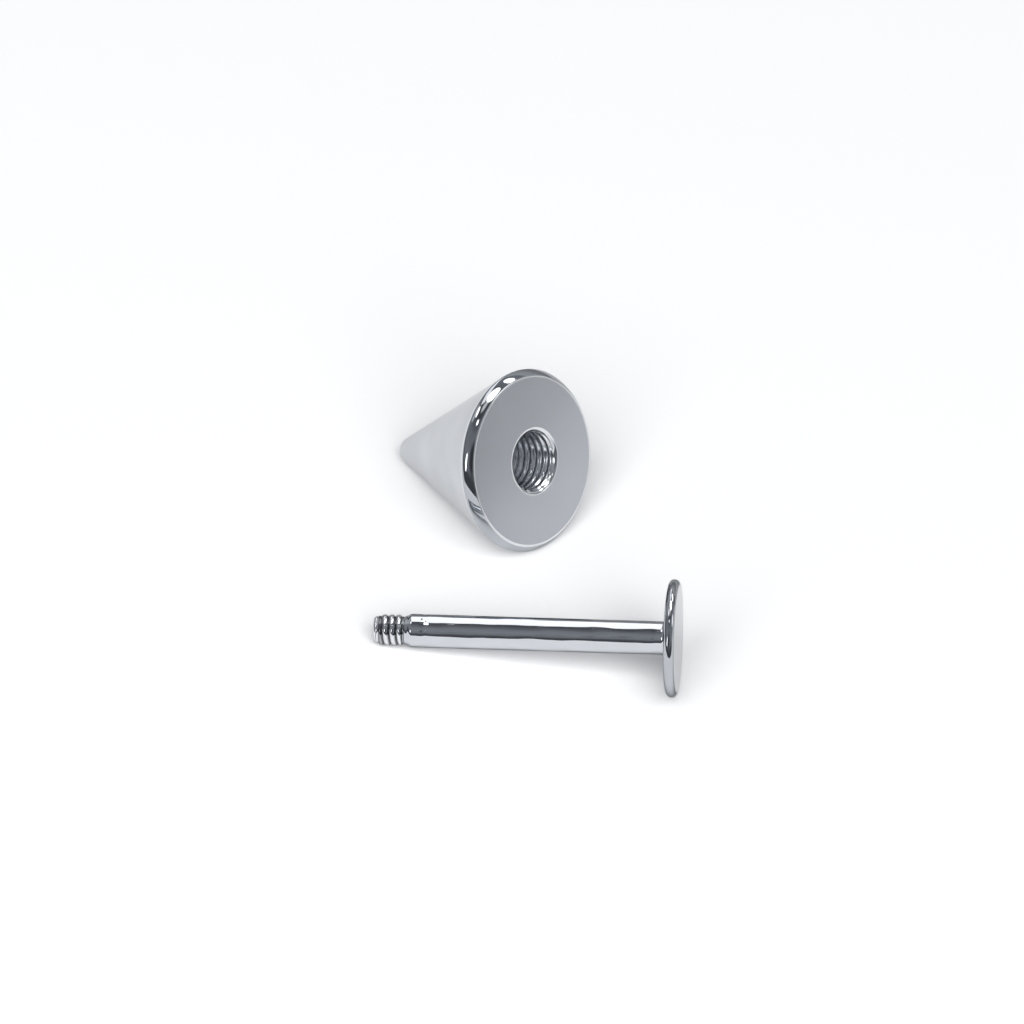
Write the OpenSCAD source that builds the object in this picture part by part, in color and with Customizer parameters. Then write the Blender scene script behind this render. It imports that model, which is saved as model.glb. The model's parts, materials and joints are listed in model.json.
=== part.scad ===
// Labret stud, lying unscrewed in its two pieces: a straight post with a flat disc back and a
// threaded end, and the cone-shaped spike that screws onto that end. Each piece rests on the
// floor at z = 0 by itself, the post on its disc and thread, the spike along its cone.
// Lengths are in millimetres and angles in degrees. +X runs along the post, +Z is up.

/* [Shaft] */
// Diameter of the shaft, 16 gauge wire
shaft_d = 1.2; // [1:0.1:1.6]
// Length from the groove behind the thread to the disc
shaft_l = 9.5; // [6:0.5:14]
// Length of the cone that leads from the groove up to the full shaft
shoulder_l = 0.22; // [0.1:0.02:0.4]
// Radius of the fillet between the shaft and the disc
fillet_r = 0.2; // [0.1:0.05:0.4]

/* [Disc back] */
// Diameter of the disc
disc_d = 4.25; // [3:0.25:6]
// Thickness of the disc, whose edge is fully rounded
disc_t = 0.38; // [0.3:0.02:0.6]

/* [Thread] */
// Outer diameter of the thread on the post
thread_d = 1.12; // [1:0.02:1.2]
// Pitch of the right-handed thread
thread_pitch = 0.25; // [0.2:0.01:0.3]
// Depth of the thread from crest to root
thread_depth = 0.08; // [0.06:0.01:0.14]
// Length of the threaded end, from its tip to the groove
thread_l = 1.1; // [0.9:0.05:2]
// Length of the plain lead in front of the first ridge
lead_l = 0.32; // [0.2:0.01:0.4]
// Gap between the post's thread and the spike's, measured on the radius
thread_gap = 0.03; // [0.02:0.005:0.05]

/* [Spike] */
// Diameter of the spike where its cone meets the bevel of the rim
spike_d = 6.68; // [5:0.2:8]
// Length of the spike from its tip to the middle of its face
spike_l = 6.58; // [6:0.1:10]
// Radius of the blunt tip
tip_r = 0.55; // [0.2:0.05:0.8]
// Radius of the round between the cone and the bevel
rim_r = 0.12; // [0.06:0.02:0.3]
// Length of the bevel round the rim, measured along the axis
bevel_l = 0.25; // [0.1:0.05:0.5]
// Angle of the bevel to the axis
bevel_angle = 36; // [20:1:50]
// Radius of the round between the bevel and the face
face_edge_r = 0.08; // [0.04:0.01:0.2]
// Height by which the middle of the face is crowned above its edge
crown_h = 0.15; // [0.05:0.05:0.3]

/* [Hole in the spike] */
// Diameter of the wide recess that takes in the end of the shaft
recess_d = 2.24; // [1.8:0.1:3]
// Depth of the recess
recess_l = 2; // [1:0.1:2.4]
// Width of the chamfer at the mouth of the recess
mouth_w = 0.1; // [0.05:0.01:0.2]
// Width of the flat seat round the mouth
seat_w = 0.2; // [0.1:0.05:0.6]
// Spacing of the turned ridges on the wall of the recess
ridge_pitch = 0.3; // [0.2:0.05:0.5]
// Height of those ridges
ridge_h = 0.08; // [0.04:0.01:0.12]
// Length of the tapped hole at the bottom of the recess
tapped_l = 1.3; // [1.2:0.1:1.6]
// Length of the plain drilled hole past the tapped one
drill_l = 0.6; // [0.3:0.1:0.8]

/* [Lying] */
// Free floor between the edge of the disc and the rim of the spike, along Y
lie_gap = 2.9; // [1:0.01:6]
// How far the tip of the spike lies past the tip of the thread, along X
tip_shift = -0.22; // [-2:0.01:4]
// Turn of the spike on the floor, away from the line of the post
spike_turn = -34.4; // [-60:0.1:0]

/* [Hidden] */

// Facets of a round surface, steps in one turn of a thread and steps in a quarter arc
round_fn = 96;
thread_steps = 36;
arc_steps = 8;
// Extra length by which a cut passes the face that it opens
cut_over = 0.1;
// Step by which one surface stays clear of another that runs beside it
skin = 0.02;

// Thread: 60 degree flanks, and a ridge that fades in and out over part of a turn
flank_angle = 30;
fade_turns = 0.4;
fade_height = 0.12;
// Rounded tip of the thread: height above the tip, and distance in from the root
lead_tip = [[0, 0.11], [0.02, 0.06], [0.06, 0.02], [0.12, 0]];
root_r = thread_d / 2 - thread_depth;
flank_w = thread_depth * tan(flank_angle);
crest_w = thread_pitch / 2 - flank_w;
ridge_w = 2 * flank_w + crest_w;
post_turns = (thread_l - lead_l - ridge_w - skin) / thread_pitch;
// Bevel that softens the shoulder where it meets the full shaft
shoulder_bevel = 0.05;

// Rim: the rings at the middles of its two rounds, which the bevel touches
face_z = spike_l - crown_h;
rim_z = face_z - face_edge_r - bevel_l;
rim_ring_r = spike_d / 2 - rim_r;
face_ring_r = rim_ring_r + (rim_r - face_edge_r - bevel_l * sin(bevel_angle)) / cos(bevel_angle);

// Crown of the face: an arc that starts level at the seat and drops to the round of the rim
seat_r = recess_d / 2 + mouth_w + seat_w;
crown_run = face_ring_r - seat_r;
crown_r = (crown_run * crown_run + crown_h * crown_h) / (2 * crown_h);
crown_steps = 6;

// Hole: the drill clears the root of the tapped thread by a skin
drill_r = root_r + thread_gap - skin / 2;
drill_tip_angle = 59;
countersink_w = shaft_d / 2 + thread_gap + skin - drill_r;

// Rest of the post: the crest half a turn along the thread and the round edge of the disc
// touch the floor, so the post leans up towards its disc by post_lean
post_l = thread_l + shaft_l + disc_t;
disc_edge_r = disc_t / 2;
rest_turns = 0.5;
rest_z = lead_l + rest_turns * thread_pitch + flank_w;
rest_run = post_l - disc_edge_r - rest_z;
rest_rise = (disc_d - thread_d) / 2 - disc_edge_r;
post_lean = asin(disc_edge_r / norm([rest_run, rest_rise])) + atan2(rest_rise, rest_run);
post_dir = [cos(post_lean), 0, sin(post_lean)];
post_tip_z = thread_d / 2 * cos(post_lean) - rest_z * sin(post_lean);

// Rest of the spike: it lies on its cone, so its axis leans up by the half angle of the cone,
// the angle of the line that touches both the blunt tip and the round of the rim
spike_run = rim_z - tip_r;
spike_lean = atan2(rim_ring_r, spike_run) - asin((tip_r - rim_r) / norm([spike_run, rim_ring_r]));
spike_dir = [cos(spike_lean) * cos(spike_turn), cos(spike_lean) * sin(spike_turn), sin(spike_lean)];
spike_tip_z = tip_r - tip_r * sin(spike_lean);

// Reach of a round edge in a direction: the edge is a ring of the given radius at distance z
// along the axis, thickened by the radius of its round
function reach(dir, axis, z, ring_r, round_r) =
    z * (dir * axis) + ring_r * norm(cross(dir, axis)) + round_r;
function post_reach(dir) = max(
    reach(dir, post_dir, post_l - disc_edge_r, disc_d / 2 - disc_edge_r, disc_edge_r),
    reach(dir, post_dir, 0, root_r - lead_tip[0][1], 0));
function spike_reach(dir) = max(
    reach(dir, spike_dir, tip_r, 0, tip_r),
    reach(dir, spike_dir, rim_z, rim_ring_r, rim_r),
    reach(dir, spike_dir, rim_z + bevel_l, face_ring_r, face_edge_r));

// Places on the floor, first with the tip of the thread at x = y = 0, then moved so that the
// middle of the whole stands at the origin
right = [1, 0, 0];
back = [0, 1, 0];
spike_x = tip_shift + spike_reach(-right);
spike_y = post_reach(back) + lie_gap + spike_reach(-back);
mid_x = (max(post_reach(right), spike_x + spike_reach(right))
    - max(post_reach(-right), spike_reach(-right) - spike_x)) / 2;
mid_y = (spike_y + spike_reach(back) - post_reach(-back)) / 2;
post_at = [-mid_x, -mid_y, post_tip_z];
spike_at = [spike_x - mid_x, spike_y - mid_y, spike_tip_z];

// Points of an arc in a profile, as [radius, height]
function arc(r, z, size, from, to) =
    let (steps = ceil(arc_steps * abs(to - from) / 90))
    [for (i = [0:steps]) let (a = from + (to - from) * i / steps) [r + size * cos(a), z + size * sin(a)]];

// Two triangles that fill a four-sided patch, named from its lower left corner round to its upper left
function quad(a, b, c, d) = [[a, c, b], [a, d, c]];

// A right-handed threaded rod along +Z as one closed mesh. The ridge starts at height start and
// runs for the given turns; below and above list the rings [height, radius] at either end.
module threaded_rod(root, start, turns, below, above) {
    n = thread_steps;
    last = round(n * turns);
    function rise(i) = max(fade_height, min(1, i / (n * fade_turns), (last - i) / (n * fade_turns)));
    function at(r, i, z) = [r * cos(360 * i / n), r * sin(360 * i / n), z];
    ridge = [for (i = [0:last]) let (z = start + thread_pitch * i / n, top = root + thread_depth * rise(i))
        each [at(root, i, z), at(top, i, z + flank_w), at(top, i, z + flank_w + crest_w), at(root, i, z + ridge_w)]];
    rings = [for (ring = concat(below, above), i = [0:n - 1]) at(ring[1], i, ring[0])];
    function on(i, k) = 4 * i + k;
    function ring(k, i) = len(ridge) + n * k + (i + n) % n;
    low = len(below) - 1;
    high = len(below);
    top_ring = high + len(above) - 1;
    first = last - n;
    polyhedron(concat(ridge, rings), concat(
        [for (i = [0:last - 1], k = [0:2]) each quad(on(i, k), on(i + 1, k), on(i + 1, k + 1), on(i, k + 1))],
        [for (i = [0:first - 1]) each quad(on(i, 3), on(i + 1, 3), on(i + n + 1, 0), on(i + n, 0))],
        [for (i = [0:n - 2]) each quad(ring(low, i), ring(low, i + 1), on(i + 1, 0), on(i, 0))],
        [for (i = [first + 1:last - 1]) each quad(on(i, 3), on(i + 1, 3), ring(high, i + 1), ring(high, i))],
        [for (k = [0:top_ring - 1], i = [0:n - 1]) if (k != low)
            each quad(ring(k, i), ring(k, i + 1), ring(k + 1, i + 1), ring(k + 1, i))],
        // the seam where the first turn meets the start of the ridge
        [[on(n - 1, 0), ring(low, 0), ring(low, n - 1)], [on(n - 1, 0), on(0, 0), ring(low, 0)],
         [on(n - 1, 0), on(0, 3), on(0, 0)], [on(n - 1, 0), on(n, 0), on(0, 3)],
         [on(0, 3), on(0, 2), on(0, 1), on(0, 0)]],
        // the seam where the last turn meets the end of the ridge
        [[on(first + 1, 3), ring(high, last), ring(high, first + 1)], [on(first + 1, 3), on(last, 3), ring(high, last)],
         [on(first + 1, 3), on(last, 0), on(last, 3)], [on(first + 1, 3), on(first, 3), on(last, 0)],
         [on(last, 0), on(last, 1), on(last, 2), on(last, 3)]],
        [[for (i = [0:n - 1]) ring(0, i)], [for (i = [n - 1:-1:0]) ring(top_ring, i)]]));
}

// The threaded end of the post, with a rounded tip; it is rooted in the shaft past the groove
module post_thread() {
    rotate([0, 0, -360 * rest_turns])
        threaded_rod(root_r, lead_l, post_turns,
            below = [for (ring = lead_tip) [ring[0], root_r - ring[1]]],
            above = [[thread_l + cut_over, root_r]]);
}

// Shaft and disc as one turned piece, from the groove behind the thread to the outer face
module shaft_and_disc() {
    shaft_r = shaft_d / 2;
    disc_z = post_l - disc_t;
    rotate_extrude($fn = round_fn)
        polygon(concat(
            [[0, thread_l], [root_r + skin, thread_l]],
            [[shaft_r - shoulder_bevel, thread_l + shoulder_l - shoulder_bevel], [shaft_r, thread_l + shoulder_l]],
            arc(shaft_r + fillet_r, disc_z - fillet_r, fillet_r, 180, 90),
            arc(disc_d / 2 - disc_edge_r, post_l - disc_edge_r, disc_edge_r, -90, 90),
            [[0, post_l]]));
}

// The post, one soldered and turned piece
module post() {
    color("silver") translate(post_at) rotate([0, 90 - post_lean, 0]) {
        post_thread();
        shaft_and_disc();
    }
}

// Outer form of the spike along +Z, its tip at z = 0
module spike_body() {
    rotate_extrude($fn = round_fn)
        polygon(concat(
            arc(0, tip_r, tip_r, -90, -spike_lean),
            arc(rim_ring_r, rim_z, rim_r, -spike_lean, bevel_angle),
            arc(face_ring_r, rim_z + bevel_l, face_edge_r, bevel_angle, 90),
            [for (i = [1:crown_steps]) let (r = crown_run * (1 - i / crown_steps))
                [seat_r + r, spike_l - crown_r + sqrt(crown_r * crown_r - r * r)]],
            [[0, spike_l]]));
}

// Recess with turned ridges on its wall, countersink and drilled hole, cut from the face down
module spike_hole() {
    recess_r = recess_d / 2;
    floor_z = spike_l - recess_l;
    ridges = floor((recess_l - mouth_w) / ridge_pitch);
    drill_z = floor_z - tapped_l - drill_l;
    rotate_extrude($fn = round_fn)
        polygon(concat(
            [[0, spike_l + cut_over], [recess_r + mouth_w + cut_over, spike_l + cut_over]],
            [[recess_r, spike_l - mouth_w]],
            [for (i = [1:ridges]) let (z = spike_l - mouth_w - i * ridge_pitch)
                each [[recess_r - ridge_h, z + ridge_pitch / 2], [recess_r, z]]],
            [[recess_r, floor_z]],
            [[drill_r + countersink_w, floor_z], [drill_r, floor_z - countersink_w]],
            [[drill_r, drill_z], [0, drill_z - drill_r / tan(drill_tip_angle)]]));
}

// Cutter for the tapped hole: the post's thread grown by the gap, open to the recess
module tapped_thread() {
    root = root_r + thread_gap;
    turns = (tapped_l + cut_over) / thread_pitch;
    floor_z = spike_l - recess_l;
    translate([0, 0, floor_z - tapped_l])
        threaded_rod(root, ridge_w / 2, turns - 1,
            below = [[0, root]],
            above = [[tapped_l + cut_over, root]]);
}

// The spike, a turned cone with its threaded hole
module spike() {
    color("lightgray") translate(spike_at) rotate([0, 90 - spike_lean, spike_turn])
        difference() {
            spike_body();
            spike_hole();
            tapped_thread();
        }
}

spike();
post();
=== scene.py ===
import json
import math

import bpy
from mathutils import Matrix, Vector


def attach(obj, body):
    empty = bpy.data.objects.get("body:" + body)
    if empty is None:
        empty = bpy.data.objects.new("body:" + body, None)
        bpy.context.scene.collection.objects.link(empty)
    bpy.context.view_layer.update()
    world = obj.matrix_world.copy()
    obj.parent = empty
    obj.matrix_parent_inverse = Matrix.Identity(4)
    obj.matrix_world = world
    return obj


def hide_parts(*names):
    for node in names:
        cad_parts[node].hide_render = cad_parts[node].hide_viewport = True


# A labret stud lying unscrewed on a pale floor: a polished steel post with a flat disc back and
# a threaded end, and the cone spike that screws onto it. Sizes are in millimetres until a mesh,
# the camera or a light is made, then in metres.
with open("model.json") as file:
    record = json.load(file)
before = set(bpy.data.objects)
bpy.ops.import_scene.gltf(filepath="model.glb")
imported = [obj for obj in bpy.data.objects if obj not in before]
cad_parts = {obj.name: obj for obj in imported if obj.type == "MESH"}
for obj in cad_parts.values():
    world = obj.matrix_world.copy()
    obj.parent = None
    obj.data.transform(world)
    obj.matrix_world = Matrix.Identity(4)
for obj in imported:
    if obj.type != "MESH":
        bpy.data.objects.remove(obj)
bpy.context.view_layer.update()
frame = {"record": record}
MM = 0.001

# Post, from the tip of its thread to the outer face of its disc. TIP_L is the height up to which
# it has the steel of its tip.
SHAFT_D = 1.2
SHAFT_L = 9.5
SHOULDER_L = 0.22
FILLET_R = 0.2
DISC_D = 4.25
DISC_T = 0.38
POST_THREAD_D = 1.12
THREAD_PITCH = 0.25
THREAD_DEPTH = 0.08
FLANK_ANGLE = 30.0
THREAD_L = 1.1
LEAD_L = 0.32
LEAD_ROUND_R = 0.1
TIP_L = 0.2
POST_L = THREAD_L + SHAFT_L + DISC_T
ROOT_R = POST_THREAD_D / 2 - THREAD_DEPTH
RIDGE_W = THREAD_PITCH / 2 + THREAD_DEPTH * math.tan(math.radians(FLANK_ANGLE))

# How far the post's thread ends before the shoulder, and how far its ridge takes to grow at the
# start and to go at the end
THREAD_STOP = 0.02
THREAD_FADE = (0.24, 0.1)

# Rounding of the shoulder: at its foot how far out from the thread's root and how far along, at
# its top how far in from the shaft and how far along from the shoulder's end
SHOULDER_FOOT = (0.02, 0.01)
SHOULDER_TOP = ((0.05, -0.06), (0.015, -0.02), (0.0, 0.04))

# Shallow hollows that polishing leaves in the shaft, one near the shoulder and one near the
# fillet: distance from that end, width and depth. The rows there are HOLLOW_STEP apart, and
# HOLLOW_ROWS of them follow each end.
HOLLOWS = ((0.47, 0.1, 0.008), (0.2, 0.12, 0.004))
HOLLOW_STEP = 0.03
HOLLOW_ROWS = 40

# Spike, from its tip to the middle of its crowned face. The bevel swells by the angle BEVEL_SWELL
# at both of its ends. A painted highlight, a brighter steel colour, runs round the face's edge and
# the hole's mouth and reaches EDGE_W onto the face.
SPIKE_D = 6.68
SPIKE_L = 6.58
TIP_R = 0.55
RIM_R = 0.12
BEVEL_L = 0.25
BEVEL_ANGLE = 36.0
BEVEL_SWELL = 13.0
FACE_EDGE_R = 0.08
CROWN_H = 0.15
EDGE_W = 0.03
FACE_Z = SPIKE_L - CROWN_H
RIM_Z = FACE_Z - FACE_EDGE_R - BEVEL_L

# Hole in the spike: the recess with its ridges, the countersunk tapped hole and the drilled end.
# THREAD_GAP is the gap round the post's thread. The countersink is wider than the shaft by that
# gap and SKIN all round, and its cone stops SINK_EDGE before the thread.
RECESS_D = 2.24
RECESS_L = 2.0
MOUTH_W = 0.1
RIDGE_PITCH = 0.3
RIDGE_H = 0.08
RIDGE_ROWS = 12
TAPPED_L = 1.3
TAPPED_FADE = (0.1, 0.1)
DRILL_L = 0.6
DRILL_ANGLE = 59.0
THREAD_GAP = 0.03
SKIN = 0.02
SINK_EDGE = 0.01

# Steps round a turned piece and along its straight stretches, height between the rows of a
# thread, and the ring before a middle point: its radius and, on the spike's tip, its angle
STEPS = 224
CONE_ROWS = 48
FACE_ROWS = 32
ROW_STEP = 0.0125
PIN_R = 0.02
PIN_ANGLE = -88.0

# Mesh attribute that holds where a point lay on its piece as it was turned, in millimetres
TURNED = "turned"

# Camera: where it looks on the floor, how far off it stands and how it is turned
TARGET = (-1.257, 4.0789, 0.0)
CAMERA_AWAY = 400.0
CAMERA_AZIMUTH = 0.65
CAMERA_ELEVATION = 37.65
CAMERA_ROLL = 8.145
CLIP_START = 10.0
FRAME_PX = 1024
PX_PER_MM = 27.317
SENSOR = 36.0

# Light panels all round the stud, seen only as reflections in the steel: azimuth clockwise from
# the back, elevation, width, height, turn about their own middle, all in degrees, and
# brightness. Panels under ROUND_BELOW degrees wide and high are elliptical.
PANEL_AWAY = 400.0
ROUND_BELOW = 34
PANELS = {
    "back_strip": (-23, 52, 11.5, 52, -22, 1.35),
    "back_low_panel": (8, 16, 66, 40, 0, 0.27),
    "back_left_panel": (-55, 30, 50, 30, 0, 0.22),
    "left_high_panel": (-85, 60, 24, 12, 0, 0.45),
    "back_right_panel": (25, 49, 27, 11, 0, 3.0),
    "upper_panel": (22, 74, 31, 21, 0, 3.0),
    "top_panel": (-90, 69.5, 15, 7, 0, 3.0),
    "right_panel": (83, 31, 16, 16, 0, 1.6),
    "right_low_panel": (78, 8, 46, 19, 0, 0.54),
    "front_left_strip": (-152, 25, 8, 21, 0, 3.0),
    "front_top_panel": (-172, 71, 9, 6, 0, 3.0),
}

# A wide soft light that lights the floor and doesn't show in the steel, in the same terms
FLOOR_FILL = (179, 44, 64, 52, 0, 4.8)
FILL_AWAY = 1000.0

# Brightness of the studio by the height of a direction, 0 at the horizon; it rises to white at
# the zenith. The tint makes it faintly blue.
SKY = ((0.0, 0.08), (0.2, 0.09), (0.4, 0.24), (0.6, 0.28), (0.82, 0.25), (0.92, 0.17),
       (0.985, 0.09))
SKY_TINT = (0.93, 0.98, 1.07)

# The dark side of the studio behind the camera: azimuth, elevation, how many degrees it reaches
# before it fades and where it ends, and brightness
DARK_FRONT = (170, 34, 8, 20, 0.06)

# Pale floor, in metres
FLOOR_HALF = 0.5
FLOOR_COLOR = (0.9, 0.9, 0.9)
FLOOR_ROUGHNESS = 0.9

# Colours of the steels
MIRROR = (0.63, 0.65, 0.68)
# Painted highlight: a brighter steel for the bright lines round the face's edge, the hole's mouth
# and the cone's rim
PAINTED_HIGHLIGHT_STEEL = (0.80, 0.815, 0.835)
SATIN = (0.62, 0.635, 0.66)
# Painted shade: the rim's bevel is a darker steel so that it shows dark
RIM_PAINTED_SHADE = (0.47, 0.49, 0.52)
TURNED_FACE = (0.475, 0.492, 0.525)
# Painted light: the hole's wall is a lighter steel than the outside, so the inside of the hole
# shows lighter
HOLE_WALL_PAINTED_LIGHT = (0.78, 0.80, 0.83)
THREAD_TIP = (0.74, 0.755, 0.78)
# Painted light and painted shade: the thread's steel is lighter than the shaft's, and it darkens
# towards its root, painted shade in its grooves
THREAD_CREST_PAINTED_LIGHT = (0.78, 0.795, 0.82)
THREAD_ROOT_PAINTED_SHADE = (0.22, 0.225, 0.235)
BRIM = (0.50, 0.517, 0.545)
DISC = (0.62, 0.64, 0.67)

# Noise of the steels: the values between which the colour wanders and those between which the
# roughness does, and how many times finer the noise of the roughness is
TONE_RANGE = (0.25, 0.75)
ROUGH_RANGE = (0.3, 0.7)
ROUGH_FINER = 9

# Heights on the cone between which its colour brightens towards its rim, a painted highlight, and
# radii on the thread between which its colour darkens towards its root, painted shade in its
# grooves
CONE_PAINTED_HIGHLIGHT_HEIGHTS = (RIM_Z - 0.22, RIM_Z - 0.07)
THREAD_PAINTED_SHADE_RADII = (0.556, 0.525)


def arc(r, z, size, start, end, steps):
    """Points (r, z) of an arc in a profile, angles in degrees from the +r direction."""
    turns = [math.radians(start + (end - start) * i / steps) for i in range(steps + 1)]
    return [(r + size * math.cos(a), z + size * math.sin(a)) for a in turns]


def line(a, b, steps):
    """Points of a straight stretch of a profile, without its first point."""
    return [(a[0] + (b[0] - a[0]) * i / steps, a[1] + (b[1] - a[1]) * i / steps)
            for i in range(1, steps + 1)]


def swelled(a, b, facing, swell, steps):
    """Points of a stretch of a profile that bulges the way it faces, without its first point."""
    bulge = math.dist(a, b) * math.tan(math.radians(swell)) / 4
    out = (math.cos(math.radians(facing)) * bulge, math.sin(math.radians(facing)) * bulge)
    shares = [4 * (i / steps) * (1 - i / steps) for i in range(1, steps + 1)]
    return [(r + out[0] * k, z + out[1] * k) for (r, z), k in zip(line(a, b, steps), shares)]


def smooth(x):
    """A soft step from 0 to 1."""
    x = max(0.0, min(1.0, x))
    return x * x * (3 - 2 * x)


def ridge(phase):
    """Height of a thread's round ridge, 0 to 1; its middle is where the phase is whole."""
    across = (phase - round(phase)) * THREAD_PITCH
    size = (THREAD_PITCH ** 2 / 4 + THREAD_DEPTH ** 2) / (2 * THREAD_DEPTH)
    return 1 - (size - math.sqrt(size ** 2 - across ** 2)) / THREAD_DEPTH


def thread_rows(root, start, end, crest, fade):
    """Rows of a right-handed thread between two heights. Crest is the height of a ridge at the
    angle 0, fade how far the ridge takes to grow at the start and to go at the end."""
    count = round((end - start) / ROW_STEP)
    rows = []
    for k in range(count + 1):
        z = start + (end - start) * k / count
        share = smooth((z - start) / fade[0]) * smooth((end - z) / fade[1])

        def radius(angle, z=z, share=share):
            phase = (z - crest) / THREAD_PITCH - angle / (2 * math.pi)
            return root + THREAD_DEPTH * share * ridge(phase)

        rows.append((radius, z))
    return rows


def hollow(*from_ends):
    """Depth of the hollows at a point of the shaft, from its distance to each end."""
    return sum(depth * math.exp(-((z - middle) / width) ** 2)
               for z, (middle, width, depth) in zip(from_ends, HOLLOWS))


def lathe(name, zones, place):
    """A closed mesh turned round its own +Z and then put in its place. A zone is a material and
    its rows of (radius, height), which start from the last row of the zone before; a radius may
    be a function of the angle. Each point keeps its turned coordinates for the materials."""
    rows, bands = [], []
    for material, stretch in zones:
        rows += stretch
        bands += [material] * (len(stretch) - (0 if bands else 1))
    verts = []
    for radius, z in rows:
        for i in range(STEPS):
            angle = 2 * math.pi * i / STEPS
            r = radius(angle) if callable(radius) else radius
            verts.append((r * math.cos(angle), r * math.sin(angle), z))
    faces, slots = [], []
    materials = [material for material, stretch in zones]
    materials = sorted(set(materials), key=materials.index)
    for k, material in enumerate(bands):
        here, above = k * STEPS, (k + 1) * STEPS
        for i in range(STEPS):
            j = (i + 1) % STEPS
            faces.append((here + i, here + j, above + j, above + i))
            slots.append(materials.index(material))
    for k, z, material in ((0, rows[0][1], bands[0]), (len(rows) - 1, rows[-1][1], bands[-1])):
        verts.append((0.0, 0.0, z))
        for i in range(STEPS):
            j = (i + 1) % STEPS
            ring = (k * STEPS + i, k * STEPS + j) if k else (k * STEPS + j, k * STEPS + i)
            faces.append((*ring, len(verts) - 1))
            slots.append(materials.index(material))
    mesh = bpy.data.meshes.new(name)
    mesh.from_pydata([place @ (Vector(v) * MM) for v in verts], [], faces)
    turned = mesh.attributes.new(TURNED, "FLOAT_VECTOR", "POINT")
    turned.data.foreach_set("vector", [c for v in verts for c in v])
    for material in materials:
        mesh.materials.append(material)
    mesh.polygons.foreach_set("material_index", slots)
    mesh.polygons.foreach_set("use_smooth", [True] * len(faces))
    mesh.update()
    piece = bpy.data.objects.new(name, mesh)
    bpy.context.scene.collection.objects.link(piece)
    return piece


def placed(mount, height):
    """The frame of a piece, from the mount that gives its axis and the point at a height on it."""
    stated = next(m for m in frame["record"]["mounts"] if m["name"] == mount)
    axis = Vector(stated["axis"]).normalized()
    side = Vector((0, 0, 1)).cross(axis).normalized()
    origin = Vector(stated["pos_m"]) - axis * height * MM
    turn = Matrix((side.cross(axis), side, axis)).transposed()
    return Matrix.Translation(origin) @ turn.to_4x4()


def post_piece(shaft_steel, tip_steel, thread_painted_light_and_shade_steel, brim_steel, disc_steel):
    """The post, turned from the tip of its thread to the outer face of its disc."""
    shaft_r = SHAFT_D / 2
    disc_z = POST_L - DISC_T
    brim_r = DISC_T / 2
    lead_r = ROOT_R - LEAD_ROUND_R
    tip = line((PIN_R, 0.0), (lead_r, 0.0), steps=4)
    tip += arc(lead_r, LEAD_ROUND_R, LEAD_ROUND_R, -90, 0, steps=8)[1:]
    crest = LEAD_L + RIDGE_W / 2 + THREAD_PITCH / 2
    thread = thread_rows(ROOT_R, LEAD_ROUND_R, THREAD_L - THREAD_STOP, crest, THREAD_FADE)
    tip += [row for row in thread if row[1] < TIP_L]
    thread = [row for row in thread if row[1] >= TIP_L]
    out, up = SHOULDER_FOOT
    shaft = [(ROOT_R, THREAD_L), (ROOT_R + out, THREAD_L + up)]
    top = [(shaft_r - inward, THREAD_L + SHOULDER_L + up) for inward, up in SHOULDER_TOP]
    shaft += line(shaft[-1], top[0], steps=3) + top[1:]
    from_z, to_z = shaft[-1][1], disc_z - FILLET_R
    reach = [HOLLOW_STEP * i for i in range(1, HOLLOW_ROWS + 1)]
    heights = [from_z + step for step in reach] + [to_z - step for step in reversed(reach)]
    shaft += [(shaft_r - hollow(z - from_z, to_z - z), z) for z in heights] + [(shaft_r, to_z)]
    shaft += arc(shaft_r + FILLET_R, disc_z - FILLET_R, FILLET_R, 180, 90, steps=10)[1:]
    brim = line(shaft[-1], (DISC_D / 2 - brim_r, disc_z), steps=8)
    brim += arc(DISC_D / 2 - brim_r, POST_L - brim_r, brim_r, -90, 90, steps=24)[1:]
    disc = line(brim[-1], (PIN_R, POST_L), steps=12)
    zones = ((tip_steel, tip), (thread_painted_light_and_shade_steel, thread), (shaft_steel, shaft), (brim_steel, brim),
             (disc_steel, disc))
    return lathe("post_steel", zones, placed("disc_back", POST_L))


def cone_and_rim():
    """Profiles of the cone, of the rim with its bevel and of the edge round the face, and the
    radius at which the face starts."""
    rim_ring, slope = SPIKE_D / 2 - RIM_R, math.radians(BEVEL_ANGLE)
    face_ring = rim_ring + (RIM_R - FACE_EDGE_R - BEVEL_L * math.sin(slope)) / math.cos(slope)
    run = RIM_Z - TIP_R
    lean = math.degrees(math.atan2(rim_ring, run)
                        - math.asin((TIP_R - RIM_R) / math.hypot(run, rim_ring)))
    cone = arc(0, TIP_R, TIP_R, PIN_ANGLE, -lean, steps=16)
    rim = arc(rim_ring, RIM_Z, RIM_R, -lean, BEVEL_ANGLE - BEVEL_SWELL, steps=10)
    cone += line(cone[-1], rim.pop(0), CONE_ROWS)
    face_edge = arc(face_ring, RIM_Z + BEVEL_L, FACE_EDGE_R, BEVEL_ANGLE + BEVEL_SWELL, 90,
                    steps=8)
    rim += swelled(rim[-1], face_edge[0], BEVEL_ANGLE, BEVEL_SWELL, steps=10)
    return cone, rim, face_edge[1:], face_ring


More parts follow.
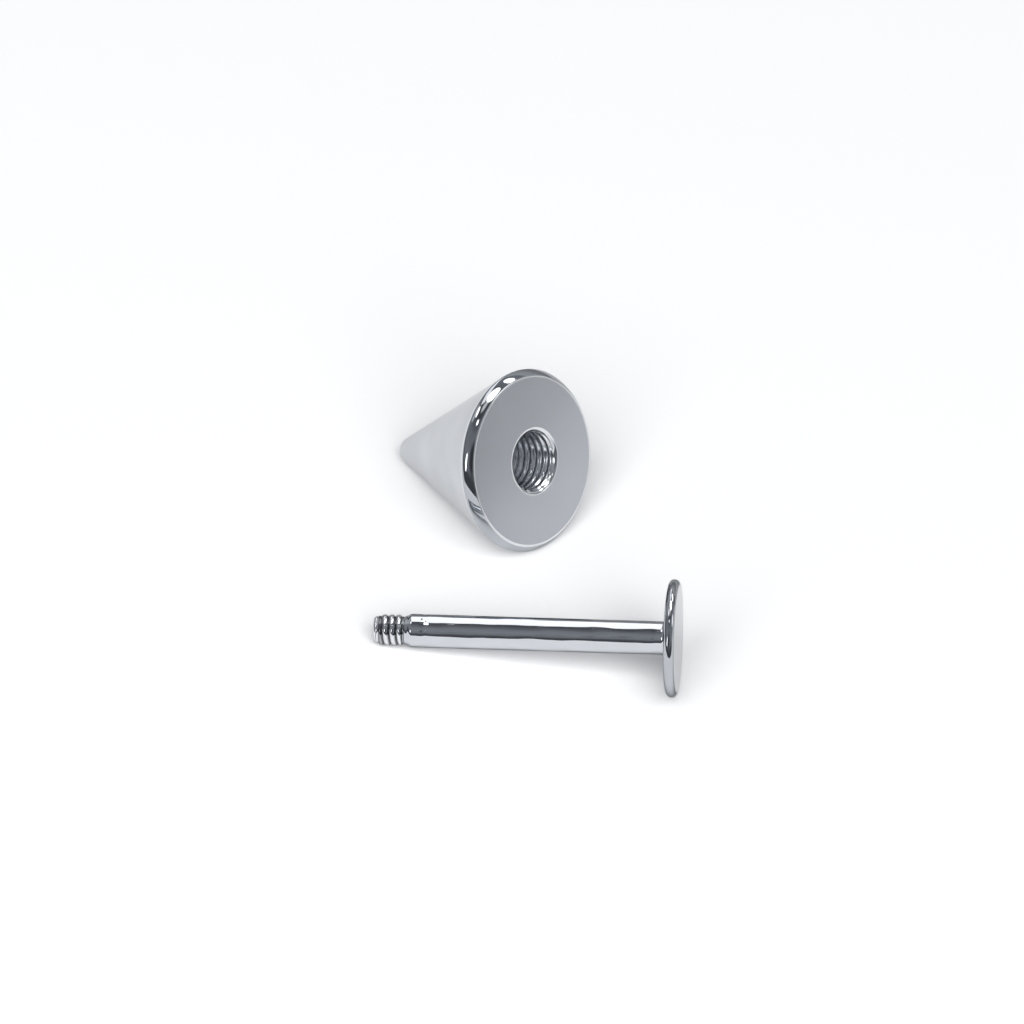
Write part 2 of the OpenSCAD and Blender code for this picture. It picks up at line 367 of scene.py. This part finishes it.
def hole_profile():
    """Profile of the hole below its mouth: ridged recess, countersink, thread and drilled end."""
    recess_r, drill_r = RECESS_D / 2, ROOT_R + THREAD_GAP
    floor_z = SPIKE_L - RECESS_L
    tapped_z = floor_z - TAPPED_L
    drill_z = tapped_z - DRILL_L
    countersink = SHAFT_D / 2 + THREAD_GAP + SKIN - drill_r
    hole = []
    for i in range(int((RECESS_L - MOUTH_W) / RIDGE_PITCH)):
        for k in range(1, RIDGE_ROWS + 1):
            z = SPIKE_L - MOUTH_W - (i + k / RIDGE_ROWS) * RIDGE_PITCH
            hole.append((recess_r - RIDGE_H * math.sin(math.pi * k / RIDGE_ROWS) ** 2, z))
    hole += [(recess_r, floor_z)]
    hole += line(hole[-1], (drill_r + countersink, floor_z), steps=4)
    hole += line(hole[-1], (drill_r + SINK_EDGE, floor_z - countersink + SINK_EDGE), steps=4)
    thread = thread_rows(drill_r, tapped_z, floor_z - countersink, tapped_z + RIDGE_W / 2,
                         TAPPED_FADE)
    hole += reversed(thread)
    hole += line((drill_r, tapped_z), (drill_r, drill_z), steps=4)
    return hole + [(PIN_R, drill_z - drill_r / math.tan(math.radians(DRILL_ANGLE)))]


def spike_piece(cone_steel_with_painted_highlight, rim_painted_shade_steel, painted_highlight_edge_steel, face_steel, hole_painted_light_steel):
    """The spike, turned from its tip over its rim and face and down into its hole."""
    recess_r = RECESS_D / 2
    mouth_r = recess_r + MOUTH_W
    cone, rim, edge, face_ring = cone_and_rim()
    outer, inner = face_ring - EDGE_W, mouth_r + EDGE_W
    radii = [outer + (inner - outer) * i / FACE_ROWS for i in range(FACE_ROWS + 1)] + [mouth_r]
    face = [(r, FACE_Z + CROWN_H * (1 - (r / face_ring) ** 2)) for r in radii]
    edge += [face.pop(0)]
    mouth = [face.pop()] + line((mouth_r, SPIKE_L), (recess_r, SPIKE_L - MOUTH_W), steps=3)
    zones = ((cone_steel_with_painted_highlight, cone), (rim_painted_shade_steel, rim), (painted_highlight_edge_steel, edge), (face_steel, face),
             (painted_highlight_edge_steel, mouth), (hole_painted_light_steel, hole_profile()))
    return lathe("spike_steel", zones, placed("spike_face", SPIKE_L))


def node(tree, kind, inputs=(), **settings):
    """A shader node with its settings, and its inputs linked or set."""
    made = tree.nodes.new("ShaderNode" + kind)
    for name, value in settings.items():
        setattr(made, name, value)
    for name, value in dict(inputs).items():
        if isinstance(value, bpy.types.NodeSocket):
            tree.links.new(value, made.inputs[name])
        else:
            made.inputs[name].default_value = value
    return made


def mapped(tree, value, low, high, to_low=0.0, to_high=1.0, **settings):
    """A value carried from between low and high to between to_low and to_high."""
    return node(tree, "MapRange", {"Value": value, "From Min": low, "From Max": high,
                                   "To Min": to_low, "To Max": to_high}, **settings).outputs[0]


def mixed(tree, share, first, second):
    """A colour that goes from the first to the second as the share goes from 0 to 1."""
    inputs = {"Factor": share, "A": first, "B": (*second, 1)}
    return node(tree, "Mix", inputs, data_type="RGBA").outputs["Result"]


def bumped(tree, height, distance, normal=None):
    """The normal of a surface with a bump of a size in millimetres, over another normal."""
    inputs = {"Height": height, "Strength": 1.0, "Distance": distance * MM}
    if normal is not None:
        inputs["Normal"] = normal
    return node(tree, "Bump", inputs).outputs["Normal"]


def turned_coords(tree):
    """Place, radius and height of a point on a turned piece, in millimetres."""
    place = node(tree, "Attribute", attribute_name=TURNED).outputs["Vector"]
    x, y, height = node(tree, "SeparateXYZ", {0: place}).outputs
    square = [node(tree, "Math", {0: c, 1: c}, operation="MULTIPLY").outputs[0] for c in (x, y)]
    total = node(tree, "Math", {0: square[0], 1: square[1]}, operation="ADD").outputs[0]
    radius = node(tree, "Math", {0: total}, operation="SQRT").outputs[0]
    return place, radius, height


def steel(name, color, roughness, wave=(1.0, 0.0), stretch=(1, 1, 1), spread=0.02, tone=0.04,
          edge=0.6, lathe_marks=None, other=None):
    """Polished steel. Its wave, a size and a height, is the unevenness that polishing leaves, and
    stretch how often that repeats along x, y and z; spread and tone are how far the roughness
    and the colour wander; edge is how much of a mirror it stays at a glancing angle;
    lathe_marks are fine rings, a size and a height, as a tool cuts them; other is a measure,
    "radius" or "height", the two values between which the colour changes, and the colour that
    it changes to, which paints a highlight on the cone and shade on the thread."""
    material = bpy.data.materials.new(name)
    material.use_nodes = True
    tree = material.node_tree
    shader = tree.nodes["Principled BSDF"]
    shader.inputs["Metallic"].default_value = 1.0
    shader.inputs["Specular Tint"].default_value = (edge, edge, edge, 1)
    place, radius, height = turned_coords(tree)
    place = node(tree, "VectorMath", {0: place, 1: stretch}, operation="MULTIPLY").outputs[0]
    uneven = node(tree, "TexNoise", {"Vector": place, "Scale": 1 / wave[0], "Detail": 1.0,
                                     "Roughness": 0.4}).outputs["Fac"]
    fine = node(tree, "TexNoise", {"Vector": place, "Scale": ROUGH_FINER / wave[0],
                                   "Detail": 3.0}).outputs["Fac"]
    ramp = node(tree, "ValToRGB", {"Fac": uneven})
    for stop, at, share in zip(ramp.color_ramp.elements, TONE_RANGE, (1 - tone, 1 + tone)):
        stop.position = at
        stop.color = (*(c * share for c in color), 1)
    shade = ramp.outputs["Color"]
    # Painted highlight or painted shade: the colour changes with the radius or the height
    if other:
        measure, first, last, second = other
        change = mapped(tree, {"radius": radius, "height": height}[measure], min(first, last),
                        max(first, last), float(first > last), float(first < last))
        shade = mixed(tree, change, shade, second)
    tree.links.new(shade, shader.inputs["Base Color"])
    rough = mapped(tree, fine, *ROUGH_RANGE, roughness - spread, roughness + spread)
    tree.links.new(rough, shader.inputs["Roughness"])
    normal = bumped(tree, uneven, wave[1])
    if lathe_marks:
        size, depth = lathe_marks
        rings = node(tree, "CombineXYZ", {"X": radius, "Z": height}).outputs[0]
        mark = node(tree, "TexNoise", {"Vector": rings, "Scale": 1 / size, "Detail": 1.0})
        normal = bumped(tree, mark.outputs["Fac"], depth, normal)
    tree.links.new(normal, shader.inputs["Normal"])
    return material


def dressed(piece, cad_node):
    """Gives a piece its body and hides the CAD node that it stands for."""
    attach(piece, "root")
    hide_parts(cad_node)


def direction(azimuth, elevation):
    """Unit vector to an azimuth, clockwise from +Y, and an elevation above the floor."""
    azimuth, elevation = math.radians(azimuth), math.radians(elevation)
    return Vector((math.sin(azimuth) * math.cos(elevation),
                   math.cos(azimuth) * math.cos(elevation), math.sin(elevation)))


def aimed(thing, middle, out, away, turn):
    """Puts a camera or light away from a middle along a direction, facing back and turned."""
    facing = out.to_track_quat("Z", "Y").to_matrix() @ Matrix.Rotation(math.radians(turn), 3, "Z")
    thing.matrix_world = Matrix.Translation((middle + out * away) * MM) @ facing.to_4x4()
    bpy.context.scene.collection.objects.link(thing)


def camera():
    """The camera, far off, as the photo shows almost no perspective."""
    data = bpy.data.cameras.new("camera")
    data.lens = SENSOR * CAMERA_AWAY * PX_PER_MM / FRAME_PX
    data.sensor_width = SENSOR
    data.clip_start = CLIP_START * MM
    seen = bpy.data.objects.new("camera", data)
    out = direction(180 - CAMERA_AZIMUTH, CAMERA_ELEVATION)
    aimed(seen, Vector(TARGET), out, CAMERA_AWAY, CAMERA_ROLL)
    bpy.context.scene.camera = seen


def floor():
    """A plain pale floor under both pieces."""
    mesh = bpy.data.meshes.new("floor")
    corners = ((-1, -1), (1, -1), (1, 1), (-1, 1))
    mesh.from_pydata([(x * FLOOR_HALF, y * FLOOR_HALF, 0) for x, y in corners], [],
                     [(0, 1, 2, 3)])
    ground = bpy.data.objects.new("floor", mesh)
    bpy.context.scene.collection.objects.link(ground)
    material = bpy.data.materials.new("pale_floor")
    material.use_nodes = True
    shader = material.node_tree.nodes["Principled BSDF"]
    shader.inputs["Base Color"].default_value = (*FLOOR_COLOR, 1)
    shader.inputs["Roughness"].default_value = FLOOR_ROUGHNESS
    mesh.materials.append(material)


def light_panel(name, azimuth, elevation, wide, high, turn, radiance, away=PANEL_AWAY):
    """An area light that fills the given angles as the stud sees it."""
    data = bpy.data.lights.new(name, "AREA")
    data.shape = "ELLIPSE" if max(wide, high) < ROUND_BELOW else "RECTANGLE"
    data.size = 2 * away * MM * math.tan(math.radians(wide / 2))
    data.size_y = 2 * away * MM * math.tan(math.radians(high / 2))
    data.energy = radiance * math.pi * data.size * data.size_y
    light = bpy.data.objects.new(name, data)
    light.visible_camera = False
    aimed(light, Vector(), direction(azimuth, elevation), away, turn)
    return light


def tinted(grey):
    """A grey of the studio's walls and ceiling."""
    return [grey * share for share in SKY_TINT]


def studio():
    """The world round the stud, with its dark side, and the lights in it."""
    world = bpy.data.worlds.new("studio")
    bpy.context.scene.world = world
    world.use_nodes = True
    tree = world.node_tree
    coords = node(tree, "TexCoord").outputs["Generated"]
    height = node(tree, "SeparateXYZ", {0: coords}).outputs["Z"]
    ramp = node(tree, "ValToRGB", {"Fac": height})
    ramp.color_ramp.interpolation = "EASE"
    stops = ramp.color_ramp.elements
    for at, grey in SKY:
        stops.new(at).color = (*tinted(grey), 1)
    # The ramp's own black stop goes, and its white one stays, at the zenith
    stops.remove(stops[0])
    azimuth, elevation, reach, end, dark = DARK_FRONT
    toward = node(tree, "VectorMath", {0: coords, 1: direction(azimuth, elevation)},
                  operation="DOT_PRODUCT").outputs["Value"]
    front = mapped(tree, toward, math.cos(math.radians(end)), math.cos(math.radians(reach)),
                   interpolation_type="SMOOTHSTEP")
    walls = mixed(tree, front, ramp.outputs["Color"], tinted(dark))
    tree.links.new(walls, tree.nodes["Background"].inputs["Color"])
    for name, row in PANELS.items():
        light_panel(name, *row).visible_diffuse = False
    light_panel("floor_fill", *FLOOR_FILL, away=FILL_AWAY).visible_glossy = False


# The spike and the post, each with the steels of its zones
spike = spike_piece(
    # The cone's colour brightens towards its rim, a painted highlight
    cone_steel_with_painted_highlight=steel("cone_steel_with_painted_highlight", SATIN, roughness=0.12, wave=(1.3, 0.006), spread=0.03,
                     tone=0.05, edge=0.8, other=("height", *CONE_PAINTED_HIGHLIGHT_HEIGHTS, PAINTED_HIGHLIGHT_STEEL)),
    # The rim's bevel is a darker steel, painted shade
    rim_painted_shade_steel=steel("rim_painted_shade_steel", RIM_PAINTED_SHADE, roughness=0.05, wave=(0.8, 0.006)),
    # The face's edge and the hole's mouth are a brighter steel, a painted highlight
    painted_highlight_edge_steel=steel("painted_highlight_edge_steel", PAINTED_HIGHLIGHT_STEEL, roughness=0.16, wave=(1.2, 0.002), edge=0.15),
    face_steel=steel("face_steel", TURNED_FACE, roughness=0.28, wave=(2.0, 0.002),
                     spread=0.005, tone=0.02, lathe_marks=(0.14, 0.0004)),
    # The hole's wall is a lighter steel, painted light
    hole_painted_light_steel=steel("hole_painted_light_steel", HOLE_WALL_PAINTED_LIGHT, roughness=0.14, wave=(0.32, 0.011), spread=0.03))
dressed(spike, "spike")
post = post_piece(
    shaft_steel=steel("shaft_steel", MIRROR, roughness=0.05, wave=(0.55, 0.028),
                      stretch=(1, 1, 0.5), edge=0.18),
    tip_steel=steel("tip_steel", THREAD_TIP, roughness=0.12, wave=(0.5, 0.003), spread=0.03,
                    edge=0.35),
    # The thread is a lighter steel, painted light, that darkens towards its root, painted shade
    thread_painted_light_and_shade_steel=steel("thread_painted_light_and_shade_steel", THREAD_CREST_PAINTED_LIGHT, roughness=0.08, wave=(0.5, 0.003),
                       edge=0.4, other=("radius", *THREAD_PAINTED_SHADE_RADII, THREAD_ROOT_PAINTED_SHADE)),
    brim_steel=steel("brim_steel", BRIM, roughness=0.07, wave=(1.0, 0.014), edge=0.3),
    disc_steel=steel("disc_steel", DISC, roughness=0.06, wave=(1.0, 0.014), edge=0.8))
dressed(post, "post")

# The stage
camera()
floor()
studio()
bpy.context.scene.view_settings.view_transform = "Standard"
